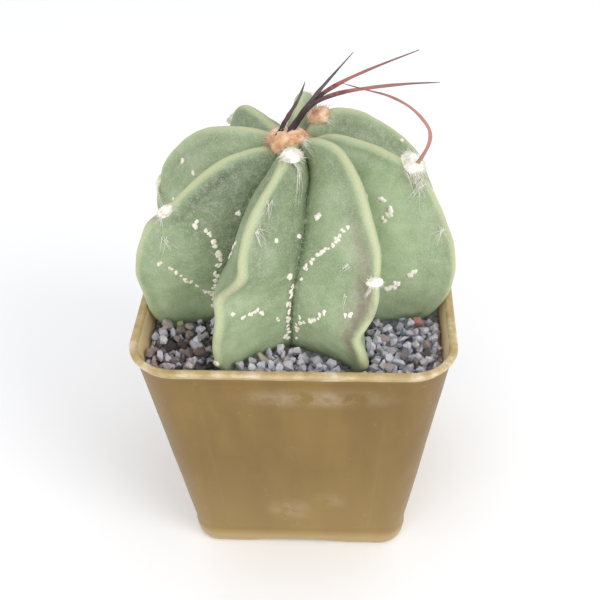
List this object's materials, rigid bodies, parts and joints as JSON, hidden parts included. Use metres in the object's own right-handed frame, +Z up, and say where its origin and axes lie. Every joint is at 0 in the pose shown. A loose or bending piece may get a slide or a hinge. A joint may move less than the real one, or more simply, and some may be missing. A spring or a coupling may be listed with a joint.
{
  "type": "potted round cactus",
  "caption": "Round star cactus with deep blunt ribs, woolly areoles and a few long curved spines, in a tapered square plastic pot topped with crushed gravel.",
  "frame": {"origin": "middle of the pot's flat underside, on the surface it stands on", "axes": "+Z up, along the pot's axis; -Y out of the front face of the pot; +X to the right seen from the front"},
  "size_m": [0.08, 0.0809, 0.1343],
  "materials": {
    "pot_plastic": "satin",
    "potting_mix": "matte",
    "gravel": "matte",
    "cactus_skin": "matte",
    "wool": "matte",
    "spine": "satin"
  },
  "bodies": {
    "root": {"pot": "pot_plastic", "potting_mix": "potting_mix", "gravel_bed": "gravel", "cactus_body": "cactus_skin", "areole_wool_1_front_left": "wool", "areole_wool_2_front_left": "wool", "areole_wool_3_front_right": "wool", "areole_wool_4_right": "wool", "areole_wool_5_rear_right": "wool", "areole_wool_6_rear": "wool", "areole_wool_7_rear_left": "wool", "areole_wool_8_left_rear": "wool", "areole_wool_9_left": "wool", "crown_wool": "wool", "spine_short": "spine", "spine_straight": "spine", "spine_upper": "spine", "spine_lower": "spine", "spine_hooked": "spine", "gravel_stone_01": "gravel", "gravel_stone_02": "gravel", "gravel_stone_03": "gravel", "gravel_stone_04": "gravel", "gravel_stone_05": "gravel", "gravel_stone_06": "gravel", "gravel_stone_07": "gravel", "gravel_stone_08": "gravel", "gravel_stone_09": "gravel", "gravel_stone_10": "gravel", "gravel_stone_11": "gravel", "gravel_stone_12": "gravel", "gravel_stone_13": "gravel", "gravel_stone_14": "gravel", "gravel_stone_15": "gravel", "gravel_stone_16": "gravel", "gravel_stone_17": "gravel", "gravel_stone_18": "gravel", "gravel_stone_19": "gravel", "gravel_stone_20": "gravel", "gravel_stone_21": "gravel", "gravel_stone_22": "gravel", "gravel_stone_23": "gravel", "gravel_stone_24": "gravel", "gravel_stone_25": "gravel", "gravel_stone_26": "gravel", "gravel_stone_27": "gravel", "gravel_stone_28": "gravel", "gravel_stone_29": "gravel", "gravel_stone_30": "gravel"}
  },
  "joints": []
}
